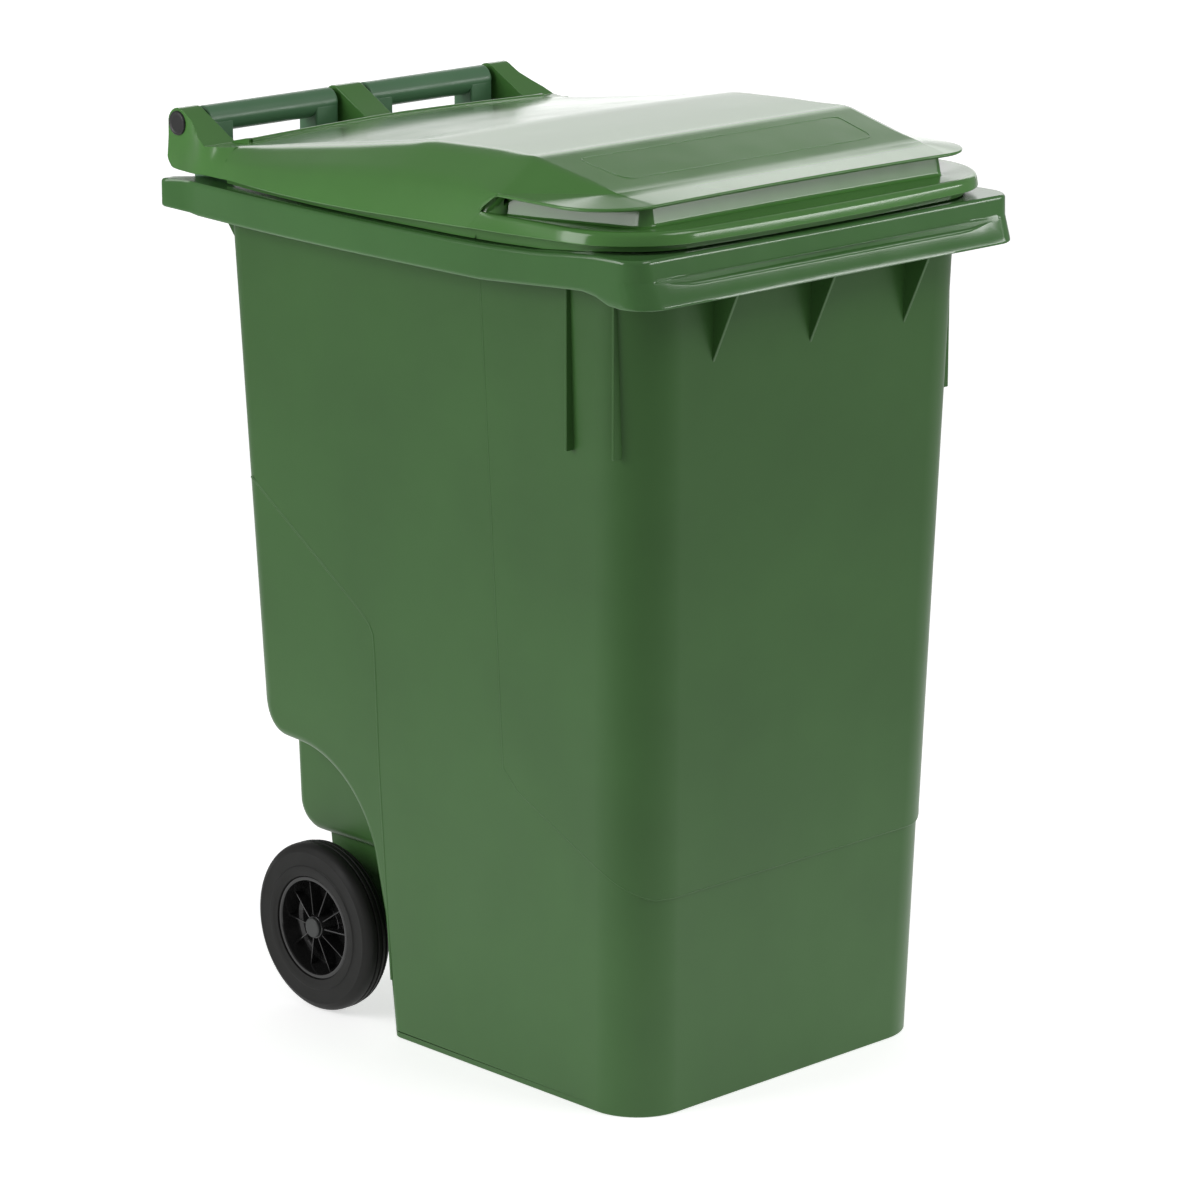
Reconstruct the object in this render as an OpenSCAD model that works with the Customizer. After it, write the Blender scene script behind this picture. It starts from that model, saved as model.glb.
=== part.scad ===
// Two-wheeled refuse bin of the 360 litre class, lid closed and standing on its base.
// X is the width, with the left side at -X. The front, with the lifting comb, faces -Y.
// The wheels and the handle are at +Y. Z = 0 is the ground, and X = Y = 0 is the middle of the footprint.

/* [Body] */
// Outer width of the tub at the ground
base_w = 482; // [460:1:500]
// Outer width of the tub at the rim
top_w = 537; // [520:1:545]
// Wall thickness of the tub
wall = 4.5; // [3.5:0.5:6]
// Depth of the raised front field over the rest of the tub
raise = 2.5; // [1:0.5:4]
// Radius of the tub's front upright corners
front_r = 65; // [45:1:80]
// Radius of the tub's rear upright corners
rear_r = 30; // [20:1:40]

/* [Rim] */
// Height of the rim's top along the sides
rim_h = 991; // [970:1:1010]
// Widest width over the rim
rim_w = 614; // [604:1:624]
// Height of the rim's skirt
skirt_h = 39; // [30:1:45]
// Height of the comb's top above the sides of the rim
comb_rise = 12; // [6:1:16]
// Thickness of the rim's skirt and top
rim_t = 4; // [3:0.5:5]

/* [Handle and hinge] */
// Diameter of the round handle bars
bar_d = 33; // [30:1:36]
// Diameter of the hinge pins
pin_d = 16; // [12:1:18]
// Radial play of a hinge pin in its handle bar
pin_play = 0.08; // [0.03:0.01:0.1]
// Width of a hinge lug at the side of the lid
lug_w = 30; // [26:1:31]

/* [Lid] */
// Height of the lid's top crease above the rim
crown = 94; // [80:1:105]
// Wall thickness of the lid
lid_t = 4; // [3:0.5:5]
// Width of the flat top of the lid
top_flat_w = 500; // [470:2:510]
// Thickness of the lid's grip flange
flange_t = 4; // [3:0.5:5]

/* [Wheels] */
// Diameter of the wheels over the tread
wheel_d = 206; // [198:1:208]
// Width of the wheels
wheel_w = 50; // [44:1:50]
// Diameter of the steel axle
axle_d = 20; // [18:1:22]
// Radial play of the hub on the axle
hub_play = 0.08; // [0.03:0.01:0.1]
// Number of ribs on each side of a wheel's web
ribs = 10; // [6:1:12]

/* [Hidden] */
$fn = 64;
front_y = -425;
comb_y = -410;
shift_y = 3.5;
rim_rear_y = 390;
base_front_y = -354;
top_front_y = -382;
base_rear_y = 270;
top_rear_y = 315;
foot_rear_y = 60;
foot_top_y = 76;
tub_h = rim_h - rim_t;
hinge_y = 400;
hinge_z = rim_h + 59;
bar_r = bar_d / 2;
pin_r = pin_d / 2;
head_r = 14.5;
bar_x0 = 26;
bar_x1 = 225;
ear_x = 272;
leg_w = 35;
mid_lug = 20.5;
lug_x1 = 261;
lug_x0 = lug_x1 - lug_w;
lug_r = 18;
sill_z = rim_h + 7;
wheel_r = wheel_d / 2;
axle_r = axle_d / 2;
axle_y = 192;
axle_z = wheel_r;
wheel_x0 = 202;
wheel_x1 = wheel_x0 + wheel_w;
under_z = wheel_r + 97;
belly_w = 392;
arch_y = 223;
arch_z = 188;
arch_r = 140;
tyre_in = 63;
ring_r = 56.5;
boss_r = 22;
boss_x1 = wheel_x1 - 5;
axle_end = wheel_x1 - 16;
groove_r = axle_r - 2.7;
latch_x = wheel_x0 + 12;
latch_r = 4;
latch_tip = axle_r - 2;
latch_back = 27;
spring_end = 44;

function arc(cx, cy, r, a0, a1, n = 12) =
    [for (i = [0 : n]) [cx + r * cos(a0 + (a1 - a0) * i / n), cy + r * sin(a0 + (a1 - a0) * i / n)]];

// Upright rounded rectangle with its own front and rear corner radii
function tub_outline(hw, y0, y1, rf, rr) = concat(
    arc(hw - rr, y1 - rr, rr, 0, 90, 8),
    arc(-hw + rr, y1 - rr, rr, 90, 180, 8),
    arc(-hw + rf, y0 + rf, rf, 180, 270, 14),
    arc(hw - rf, y0 + rf, rf, 270, 360, 14));

function mix(a, b, t) = a + (b - a) * t;
function half_w(z) = mix(base_w, top_w, z / tub_h) / 2;
function wall_front(z) = mix(base_front_y, top_front_y, z / tub_h);
function wall_rear(z) = mix(base_rear_y, top_rear_y, z / tub_h);
function flip(list) = [for (i = [len(list) - 1 : -1 : 0]) [-list[i][0], list[i][1]]];

// Half width of the rim and of the lid's edge, bowed outwards along the sides
function rim_x(y) = rim_w / 2 - (y < -10 ? 0.000037 : 0.00015) * (y + 10) * (y + 10);
function lid_x(y) = rim_w / 2 + 1 - (y < -10 ? 0.00007 : 0.00024) * (y + 10) * (y + 10);

rim_side = concat(
    arc(rim_x(-386) - 34, front_y + 34, 34, -90, 0, 10),
    [for (y = [-330 : 57 : 355]) [rim_x(y), y]],
    [[rim_w / 2 - 9, rim_rear_y - 5], [rim_w / 2 - 13, rim_rear_y]]);

lid_front = [for (i = [0 : 6]) [194 * i / 6, comb_y - 6 + 6.5 * i * i / 36]];
lid_side = concat(lid_front, arc(194, comb_y + 108.5, 108, -90, 0, 14), [for (y = [-240 : 40 : 320]) [lid_x(y), y]],
    [[lid_x(340), 340]]);

flange_side = concat([[0, comb_y + 44], [200, comb_y + 38]], arc(219, comb_y + 123, 85, -85, 0, 12), [[304, -182]]);

module along_x(x0, x1) {
    translate([x0, 0, 0]) rotate([90, 0, 90]) linear_extrude(x1 - x0) children();
}

// Puts the middle of the footprint at Y = 0
module placed() {
    translate([0, shift_y, 0]) children();
}

module both_sides() {
    children();
    mirror([1, 0, 0]) children();
}

module on_side(side) {
    if (side > 0) children();
    else mirror([1, 0, 0]) children();
}

module slab(z, e) {
    translate([0, 0, z]) linear_extrude(0.1)
        polygon(tub_outline(half_w(z) - e, wall_front(z) + e, wall_rear(z) - e, front_r - e, rear_r - e));
}

// Tapered block the tub is made from, drawn in by e on every side
module taper(e, z0, z1) {
    hull() {
        slab(z0, e);
        slab(z1 - 0.1, e);
    }
}

// Space behind the foot and under the rear of the tub
module under_profile() {
    ry = wall_rear(under_z);
    polygon(concat(
        [[foot_rear_y - 5, -60], [foot_top_y, under_z]],
        arc(ry - 35, under_z + 35, 35, 270, 360, 8),
        [[600, under_z + 35], [600, -60]]));
}

// Space over and around one wheel
module arch_profile() {
    ry = wall_rear(arch_z + arch_r);
    polygon(concat(
        [[foot_rear_y - 5, -60], [foot_rear_y + 12, 150]],
        arc(arch_y, arch_z, arch_r, 165, 90, 12),
        arc(ry - 50, arch_z + arch_r + 52, 50, 270, 360, 8),
        [[600, arch_z + arch_r + 52], [600, -60]]));
}

module tub_form(e, z0, z1) {
    difference() {
        taper(e, z0, z1);
        along_x(-400, 400) offset(delta = e) under_profile();
        both_sides() along_x(belly_w / 2 - e, 400) offset(delta = e) arch_profile();
    }
}

// Field of the front and sides that stands proud of the tub
module raised_zone() {
    along_x(-400, 400)
        polygon([[-500, 262], [-354, 262], [-306, 293], [-175, 356], [-151, 379], [-133, tub_h], [-500, tub_h]]);
}

// Webs under the comb and under the rear of the rim
module gussets() {
    for (x = [-152, 0, 152]) along_x(x - 2, x + 2)
        polygon([[-375, 856], [-360, 858], [-360, rim_h - 10], [comb_y + 6, rim_h - 10], [front_y + 5, 950]]);
    for (x = [-206, -45, 45, 206]) along_x(x - 2, x + 2)
        polygon([[300, 880], [310, 885], [370, 958], [380, rim_h - 18], [300, rim_h - 12]]);
    for (x = [-255, 255]) along_x(x - 2, x + 2)
        polygon([[296, 914], [308, 918], [322, 945], [335, rim_h - 12], [296, rim_h - 12]]);
}

// Upright fins beside the front corners
module fins() {
    both_sides() {
        translate([235, -345, 772]) cube([33, 4, 184]);
        translate([235, -278, 772]) cube([40, 4, 184]);
    }
}

// Eyes under the rear of the tub that carry the axle
module axle_eyes() {
    both_sides() {
        along_x(150, 196) {
            translate([axle_y, axle_z]) circle(r = 26);
            polygon([[axle_y - 26, axle_z], [foot_rear_y + 4, axle_z + 20], [foot_rear_y + 4, under_z + 2],
                [axle_y + 40, under_z + 2], [axle_y + 26, axle_z]]);
        }
    }
}

module tub() {
    color("forestgreen") placed() difference() {
        union() {
            tub_form(0, 0, tub_h);
            intersection() {
                taper(-raise, 0, tub_h);
                raised_zone();
            }
            gussets();
            fins();
            axle_eyes();
        }
        tub_form(wall, wall + 1, tub_h + 20);
        along_x(-300, 300) translate([axle_y, axle_z]) circle(r = axle_r + hub_play);
    }
}

module rim_outline(e = 0) {
    offset(delta = -e) polygon(concat(rim_side, flip(rim_side)));
}

module rim_opening(e) {
    polygon(tub_outline(half_w(tub_h) - e, wall_front(tub_h) + e, wall_rear(tub_h) - e, front_r - e, rear_r - e));
}

module rim_profile() {
    comb_z = rim_h + comb_rise;
    low = rim_h - skirt_h;
    polygon([[comb_y, comb_z], [-350, comb_z], [-260, rim_h + 4], [-120, rim_h], [rim_rear_y, rim_h],
        [rim_rear_y, low + 6], [340, low], [-170, low], [-330, low + 10],
        [-352, low + 8], [-372, low - 2], [front_y, low - 2], [comb_y - 3, rim_h - 12]]);
}

module rim_channel_profile() {
    top = rim_h - rim_t;
    polygon([[comb_y + rim_t, top + comb_rise], [-350, top + comb_rise], [-260, top + 4], [-120, top], [344, top],
        [rim_rear_y - rim_t, top - 13], [rim_rear_y - rim_t, 900], [front_y + rim_t, 900],
        [front_y + rim_t, rim_h - skirt_h], [comb_y - 3 + rim_t, rim_h - 12]]);
}

module rim() {
    color("forestgreen") placed() difference() {
        intersection() {
            translate([0, 0, 900]) linear_extrude(150) rim_outline();
            along_x(-400, 400) rim_profile();
        }
        difference() {
            intersection() {
                translate([0, 0, 900]) linear_extrude(150) rim_outline(rim_t);
                along_x(-400, 400) rim_channel_profile();
            }
            translate([0, 0, tub_h]) linear_extrude(40) rim_opening(0);
        }
        along_x(-ear_x, ear_x) polygon([[355, rim_h], [rim_rear_y + 1, rear_top(rim_rear_y + 1)], [rim_rear_y + 1, rim_h + 9]]);
        translate([0, 0, 900]) linear_extrude(200) rim_opening(wall);
        translate([0, 0, 900]) linear_extrude(tub_h - 900) rim_opening(0);
    }
}

function rear_top(y) = rim_h - 11 * (y - 355) / 35;

module handle(side) {
    color("darkgreen") placed() on_side(side) difference() {
        union() {
            along_x(bar_x0, bar_x1) translate([hinge_y, hinge_z]) circle(r = bar_r);
            for (x = [bar_x0, bar_x1 - leg_w]) along_x(x, x + leg_w)
                translate([hinge_y - bar_r, sill_z - 1]) square([bar_d, hinge_z - sill_z + 1]);
            along_x(bar_x0, bar_x1) polygon([[hinge_y - bar_r, rear_top(hinge_y - bar_r)], [rim_rear_y, rear_top(rim_rear_y)],
                [rim_rear_y, rim_h - 30], [hinge_y, rim_h - 30], [hinge_y + bar_r, rim_h - 12],
                [hinge_y + bar_r, sill_z], [hinge_y - bar_r, sill_z]]);
        }
        along_x(0, 300) translate([hinge_y, hinge_z]) circle(r = pin_r + pin_play);
    }
}

// Cross-sections of the lid from front to rear:
// y, half width and height of the top edge, of the shoulder and of the lower edge
dome = [
    [-363, top_flat_w / 2 - 24, crown - 34, 234, crown - 39, 240, 28],
    [-321, top_flat_w / 2 - 11, crown - 27, 248, crown - 37, 254, 24],
    [-197, top_flat_w / 2, crown, 290, crown - 33, 300, 15],
    [-25, top_flat_w / 2, crown - 2.5, 302, crown - 40, 308, 8],
    [100, top_flat_w / 2, crown - 19, 301, crown - 50, 306, 7],
    [250, top_flat_w / 2, crown - 41, 288, crown - 60, 293, 8],
    [302, top_flat_w / 2, crown - 49, 278, crown - 66, 284, 9]];

module dome_slice(s, e, drop) {
    ends = s[0] < -350 ? e : s[0] > 300 ? -e : 0;
    t = [s[1] - e, rim_h + s[2] - e];
    k = [s[3] - e, rim_h + s[4] - e / 2];
    b = [s[5] - e, rim_h + s[6] - drop];
    translate([0, s[0] + ends + 0.05, 0]) rotate([90, 0, 0]) linear_extrude(0.1)
        polygon([t, k, b, [-b[0], b[1]], [-k[0], k[1]], [-t[0], t[1]]]);
}

module dome_form(e, drop) {
    hull() for (s = dome) dome_slice(s, e, drop);
}

module lid_outline(e = 0) {
    offset(delta = -e) polygon(concat(lid_side, flip(lid_side)));
}

// Rounded lower band that runs round the front of the lid
module band(e) {
    intersection() {
        translate([0, 0, rim_h - 20]) linear_extrude(80) lid_outline(e);
        along_x(-400, 400) polygon([[-430, rim_h + 19 - 40 * e], [-430, rim_h + 31 - e], [comb_y, rim_h + 35 - e],
            [-375, rim_h + 37 - e], [-190, rim_h + 29 - e], [-130, rim_h + 16 - e], [-130, rim_h + 9 - 40 * e],
            [-310, rim_h + 17 - 40 * e]]);
    }
}

module flange() {
    intersection() {
        translate([0, 0, rim_h + 40]) linear_extrude(30) polygon(concat(flange_side, flip(flange_side)));
        along_x(-400, 400) polygon([[-380, rim_h + 63 - flange_t], [-380, rim_h + 63], [-335, rim_h + 63], [-182, rim_h + 54],
            [-182, rim_h + 54 - flange_t], [-335, rim_h + 63 - flange_t]]);
    }
}

module lug_profile() {
    translate([hinge_y, hinge_z]) circle(r = lug_r);
    polygon([[hinge_y + lug_r, hinge_z], [hinge_y + lug_r, rim_h + 20], [413, rim_h + 12], [405, rim_h + 9], [290, rim_h + 9],
        [290, rim_h + crown - 48], [332, rim_h + crown - 51], [hinge_y - 12, hinge_z + 13.5],
        [hinge_y, hinge_z + lug_r]]);
}

module lugs() {
    along_x(-mid_lug, mid_lug) lug_profile();
    both_sides() along_x(lug_x0, lug_x1) lug_profile();
}

module lid() {
    color("green") placed() difference() {
        union() {
            difference() {
                union() {
                    dome_form(0, 0);
                    band(0);
                    flange();
                }
                dome_form(lid_t, 60);
                band(lid_t);
            }
            lugs();
        }
        along_x(-300, 300) translate([hinge_y, hinge_z]) circle(r = pin_r + 0.05);
        both_sides() along_x(lug_x1 - 4, 300) translate([hinge_y, hinge_z]) circle(r = head_r + 0.2);
    }
}

module hinge_pin(side) {
    color("black") placed() on_side(side) {
        along_x(4, lug_x1 - 3) translate([hinge_y, hinge_z]) circle(r = pin_r);
        along_x(lug_x1 - 4, lug_x1 + 3) translate([hinge_y, hinge_z]) circle(r = head_r);
    }
}

// Turned ring round the axle line, drawn as radius against X
module turned() {
    translate([0, axle_y, axle_z]) rotate([0, 90, 0]) rotate_extrude($fn = 96) children();
}

module axle() {
    color("silver") placed() difference() {
        turned() translate([0, -axle_end]) square([axle_r, 2 * axle_end]);
        both_sides() turned() translate([groove_r, latch_x - 5]) square([axle_r, 10]);
    }
}

module spacer(side) {
    color("dimgray") placed() on_side(side) turned() translate([axle_r + 0.1, 196.4]) square([7, wheel_x0 - 196.8]);
}

module tyre(side) {
    r = wheel_r;
    grooves = [wheel_x1 - 31, wheel_x1 - 24, wheel_x1 - 17];
    color("black") placed() on_side(side) turned() difference() {
        polygon(concat([[tyre_in + 0.05, wheel_x0 + 3], [tyre_in + 8, wheel_x0 + 2]],
            arc(r - 26, wheel_x0 + 28, 26, -90, 0, 8),
            arc(r - 12, wheel_x1 - 12, 12, 0, 90, 6),
            [[r - 13, wheel_x1 - 1.5], [tyre_in + 14, wheel_x1 - 1.5], [tyre_in + 13, wheel_x1],
            [tyre_in + 2, wheel_x1], [tyre_in + 0.05, wheel_x1 - 2]]));
        for (x = grooves) translate([r - 4, x - 1]) square([5, 2]);
    }
}

module hub(side) {
    ring_x0 = wheel_x0 + 4;
    ring_x1 = wheel_x1 - 3;
    web_x = wheel_x0 + 20;
    color("black") placed() on_side(side) difference() {
        union() {
            turned() translate([ring_r, ring_x0]) square([tyre_in - ring_r, ring_x1 - ring_x0]);
            turned() translate([axle_r, web_x]) square([ring_r - axle_r + 1, 4]);
            turned() translate([axle_r, wheel_x0]) square([boss_r - axle_r, boss_x1 - wheel_x0]);
            translate([0, axle_y, axle_z]) for (i = [0 : ribs - 1]) rotate([i * 360 / ribs, 0, 0])
                translate([ring_x0 + 4, -2, boss_r - 2]) cube([wheel_w - 15, 4, ring_r - boss_r + 3]);
            translate([wheel_x0 + 4, axle_y - 8, axle_z + axle_r]) cube([17, 16, ring_r - axle_r + 1]);
        }
        turned() translate([0, wheel_x0 - 1]) square([axle_r + hub_play, wheel_w + 2]);
        translate([latch_x, axle_y, axle_z]) cylinder(r = latch_r + 0.1, h = spring_end);
    }
}

module cap(side) {
    color("dimgray") placed() on_side(side) turned()
        polygon([[0, axle_end + 2], [axle_r - 0.2, axle_end + 2], [axle_r - 0.2, boss_x1], [15.5, boss_x1],
            [15.5, boss_x1 + 2.5], [14.5, boss_x1 + 3.5], [0, boss_x1 + 4]]);
}

module latch(side) {
    color("silver") placed() on_side(side) translate([latch_x, axle_y, axle_z + latch_tip])
        cylinder(r = latch_r, h = latch_back - latch_tip);
}

// Helical wire of radius w, wound at radius r over height h
module coil(r, w, h, turns) {
    steps = turns * 14;
    sides = 6;
    pts = [for (i = [0 : steps]) for (j = [0 : sides - 1])
        let (a = 360 * turns * i / steps, b = 360 * j / sides, q = r + w * cos(b))
        [q * cos(a), q * sin(a), w + (h - 2 * w) * i / steps + w * sin(b)]];
    skin = [for (i = [0 : steps - 1]) for (j = [0 : sides - 1])
        let (k = (j + 1) % sides)
        [i * sides + j, (i + 1) * sides + j, (i + 1) * sides + k, i * sides + k]];
    polyhedron(pts, concat(skin, [[for (j = [0 : sides - 1]) j],
        [for (j = [sides - 1 : -1 : 0]) steps * sides + j]]), 4);
}

module spring(side) {
    color("silver") placed() on_side(side) translate([latch_x, axle_y, axle_z + latch_back + 0.2])
        coil(2.9, 0.6, spring_end - latch_back - 0.4, 6);
}

tub();
rim();
handle(-1);  // handle_left
handle(1);  // handle_right
axle();
spacer(-1);  // spacer_left
spacer(1);  // spacer_right
lid();
hinge_pin(-1);  // hinge_pin_left
hinge_pin(1);  // hinge_pin_right
tyre(-1);  // tyre_left
hub(-1);  // hub_left
cap(-1);  // cap_left
latch(-1);  // latch_left
spring(-1);  // spring_left
tyre(1);  // tyre_right
hub(1);  // hub_right
cap(1);  // cap_right
latch(1);  // latch_right
spring(1);  // spring_right
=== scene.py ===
"""Two-wheeled refuse bin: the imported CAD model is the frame, and the shown surfaces are modelled around it."""
import math

import bmesh
import bpy
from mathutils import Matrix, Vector


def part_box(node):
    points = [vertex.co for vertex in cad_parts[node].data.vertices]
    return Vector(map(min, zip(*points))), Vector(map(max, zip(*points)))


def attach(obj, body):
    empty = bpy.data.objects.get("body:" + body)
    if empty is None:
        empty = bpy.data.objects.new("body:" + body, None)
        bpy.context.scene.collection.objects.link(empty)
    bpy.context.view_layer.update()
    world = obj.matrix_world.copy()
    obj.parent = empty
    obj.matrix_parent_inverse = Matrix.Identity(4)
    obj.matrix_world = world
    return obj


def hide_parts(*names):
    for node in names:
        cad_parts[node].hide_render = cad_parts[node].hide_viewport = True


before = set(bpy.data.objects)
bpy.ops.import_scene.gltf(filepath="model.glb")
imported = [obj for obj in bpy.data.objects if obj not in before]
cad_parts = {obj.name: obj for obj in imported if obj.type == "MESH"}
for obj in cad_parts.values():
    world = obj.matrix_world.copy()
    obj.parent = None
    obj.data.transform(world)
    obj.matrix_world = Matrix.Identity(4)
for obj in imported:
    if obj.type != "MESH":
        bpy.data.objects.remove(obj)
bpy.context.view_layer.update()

# Lengths below are in millimetres. Y is measured as in the CAD before its footprint was centred,
# so that the axle's centre is at AXLE_Y.
MM = 0.001
AXLE_Y = 192
axle_low, axle_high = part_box("axle")
SHIFT_Y = (axle_low.y + axle_high.y) / 2 / MM - AXLE_Y


def mix(a, b, t):
    return a + (b - a) * t


def ease(t):
    t = min(1.0, max(0.0, t))
    return t * t * (3 - 2 * t)


def table(x, rows):
    """Straight-line interpolation in rows of (x, value, value...), sorted by x."""
    if x <= rows[0][0]:
        return rows[0][1:]
    for a, b in zip(rows, rows[1:]):
        if x <= b[0]:
            t = (x - a[0]) / (b[0] - a[0])
            return tuple(mix(p, q, t) for p, q in zip(a[1:], b[1:]))
    return rows[-1][1:]


def arc(cx, cy, r, a0, a1, n):
    """n + 1 points of an arc, angles in degrees."""
    angles = [math.radians(mix(a0, a1, i / n)) for i in range(n + 1)]
    return [(cx + r * math.cos(a), cy + r * math.sin(a)) for a in angles]


class Shape:
    """Points and faces of a mesh under construction, in millimetres."""

    def __init__(self):
        self.points, self.faces = [], []

    def row(self, points):
        start = len(self.points)
        self.points.extend(tuple(p) for p in points)
        return list(range(start, len(self.points)))

    def skin(self, rows, closed=False, looped=False):
        """Quads between rows of points. closed joins each row's ends, looped the last row to the first."""
        rows = [self.row(r) for r in rows]
        for a, b in zip(rows, rows[1:] + ([rows[0]] if looped else [])):
            for i in range(len(a) if closed else len(a) - 1):
                j = (i + 1) % len(a)
                self.faces.append((a[i], a[j], b[j], b[i]))
        return rows

    def face(self, points):
        self.faces.append(tuple(self.row(points)))

    def add(self, other):
        start = len(self.points)
        self.points.extend(other.points)
        self.faces.extend(tuple(i + start for i in f) for f in other.faces)

    def mirrored(self):
        flipped = Shape()
        flipped.points = [(-x, y, z) for x, y, z in self.points]
        flipped.faces = [tuple(reversed(f)) for f in self.faces]
        return flipped

    def both(self):
        """The shape with its mirror image in X added."""
        self.add(self.mirrored())
        return self


def skinned(rows, closed=False, looped=False):
    shape = Shape()
    shape.skin(rows, closed, looped)
    return shape


def prism(outline, make):
    """A prism from a 2-D outline: make(u, v, end) gives the point of one end, 0 or 1."""
    shape = Shape()
    ends = shape.skin([[make(u, v, end) for u, v in outline] for end in (0, 1)], closed=True)
    shape.faces.extend(tuple(row) for row in ends)
    return shape


def turned(outline, y, z, count):
    """outline of (x, radius) turned round the line through (y, z) along X."""
    rows = []
    for i in range(count):
        a = 2 * math.pi * i / count
        rows.append([(x, y + r * math.cos(a), z + r * math.sin(a)) for x, r in outline])
    return skinned(rows, looped=True)


def mesh_of(name, shape, weld):
    """The mesh of a shape, in metres and in the frame's place, with points closer than weld joined."""
    mesh = bpy.data.meshes.new(name)
    points = [(x * MM, (y + SHIFT_Y) * MM, z * MM) for x, y, z in shape.points]
    mesh.from_pydata(points, [], shape.faces)
    bm = bmesh.new()
    bm.from_mesh(mesh)
    bmesh.ops.remove_doubles(bm, verts=bm.verts, dist=weld * MM)
    bmesh.ops.dissolve_degenerate(bm, edges=bm.edges, dist=weld * MM / 2)
    bmesh.ops.recalc_face_normals(bm, faces=bm.faces)
    bm.to_mesh(mesh)
    bm.free()
    return mesh


def placed(name, data):
    """A new object in the scene."""
    obj = bpy.data.objects.new(name, data)
    bpy.context.scene.collection.objects.link(obj)
    return obj


def part(name, shape, bevel=0.0, segments=3, angle=30.0, sharp=40.0, weld=0.02, keep_flat=True):
    """An object from a shape, with its edges rounded by bevel millimetres."""
    obj = placed(name, mesh_of(name, shape, weld))
    obj.data.shade_smooth()
    if bevel:
        mod = obj.modifiers.new("edges", "BEVEL")
        mod.width = bevel * MM
        mod.segments = segments
        mod.limit_method = "ANGLE"
        mod.angle_limit = math.radians(angle)
        mod.use_clamp_overlap = True
    else:
        obj.data.set_sharp_from_angle(angle=math.radians(sharp))
    if keep_flat:
        mod = obj.modifiers.new("normals", "WEIGHTED_NORMAL")
        mod.keep_sharp = True
        mod.weight = 100
    return obj


def joined(name, objects):
    """One object from several, with their modifiers applied."""
    graph = bpy.context.evaluated_depsgraph_get()
    for obj in objects:
        obj.data = bpy.data.meshes.new_from_object(obj.evaluated_get(graph))
        obj.modifiers.clear()
    first = objects[0]
    with bpy.context.temp_override(active_object=first, selected_editable_objects=objects):
        bpy.ops.object.join()
    first.name = name
    first.data.name = name
    return first


def shown(obj, material, body, slot, *nodes):
    """Dresses a piece, attaches it to its body and puts it in place of CAD nodes."""
    obj.data.materials.clear()
    obj.data.materials.append(material)
    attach(obj, body)
    if nodes:
        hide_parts(*nodes)
    return obj


# ---- Materials ----

CLOUDINESS = 0.06
RUBBER_STOPS = [(0.3, (0.0075, 0.0075, 0.007)), (0.75, (0.0125, 0.0125, 0.0115))]
ZINC_STOPS = [(0.3, (0.48, 0.49, 0.5)), (0.7, (0.62, 0.63, 0.64))]


def node_material(name):
    """A new node material, its tree and its shader."""
    material = bpy.data.materials.new(name)
    material.use_nodes = True
    tree = material.node_tree
    shader = tree.nodes["Principled BSDF"]
    return material, tree, shader


def noise_node(tree, scale, detail=3.0, stretch=None):
    """A noise texture over the object's own coordinates, in metres."""
    coordinates = tree.nodes.new("ShaderNodeTexCoord")
    noise = tree.nodes.new("ShaderNodeTexNoise")
    noise.inputs["Scale"].default_value = scale
    noise.inputs["Detail"].default_value = detail
    source = coordinates.outputs["Object"]
    if stretch:
        mapping = tree.nodes.new("ShaderNodeMapping")
        mapping.inputs["Scale"].default_value = stretch
        tree.links.new(source, mapping.inputs["Vector"])
        source = mapping.outputs["Vector"]
    tree.links.new(source, noise.inputs["Vector"])
    return noise


def ramped(tree, noise, stops, target):
    """Feeds a shader's input from a noise through a colour ramp; a stop's colour is three numbers or one grey."""
    ramp = tree.nodes.new("ShaderNodeValToRGB")
    elements = ramp.color_ramp.elements
    while len(elements) < len(stops):
        elements.new(0.5)
    for element, (position, colour) in zip(elements, stops):
        element.position = position
        element.color = (*colour, 1) if isinstance(colour, tuple) else (colour, colour, colour, 1)
    tree.links.new(noise.outputs["Fac"], ramp.inputs["Fac"])
    tree.links.new(ramp.outputs["Color"], target)


def bump_normal(tree, noise, strength, height, under=None):
    """The normal of a bump up to height millimetres, on top of another normal."""
    bump = tree.nodes.new("ShaderNodeBump")
    bump.inputs["Strength"].default_value = strength
    bump.inputs["Distance"].default_value = height * MM
    tree.links.new(noise.outputs["Fac"], bump.inputs["Height"])
    if under:
        tree.links.new(under, bump.inputs["Normal"])
    return bump.outputs["Normal"]


def plastic(name, colour, rough, grain=0.35, bump=0.02, speckle=900.0, wave=0.0, shine=0.5):
    """Moulded plastic: cloudy colour, uneven gloss, a fine moulded grain and long shallow waves."""
    material, tree, shader = node_material(name)
    low = tuple(c * (1 - CLOUDINESS) for c in colour)
    high = tuple(c * (1 + CLOUDINESS) for c in colour)
    ramped(tree, noise_node(tree, 7.0, 4.0), [(0.3, low), (0.7, high)], shader.inputs["Base Color"])
    smear = noise_node(tree, 22.0, 5.0, (1, 1, 0.35))
    ramped(tree, smear, [(0.25, rough * 0.86), (0.75, rough * 1.16)], shader.inputs["Roughness"])
    normal = bump_normal(tree, noise_node(tree, speckle, 2.0), grain, bump)
    if wave:
        normal = bump_normal(tree, noise_node(tree, 5.0, 1.0), 1.0, wave, normal)
    tree.links.new(normal, shader.inputs["Normal"])
    shader.inputs["IOR"].default_value = 1.5
    shader.inputs["Specular IOR Level"].default_value = shine
    return material


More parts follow.
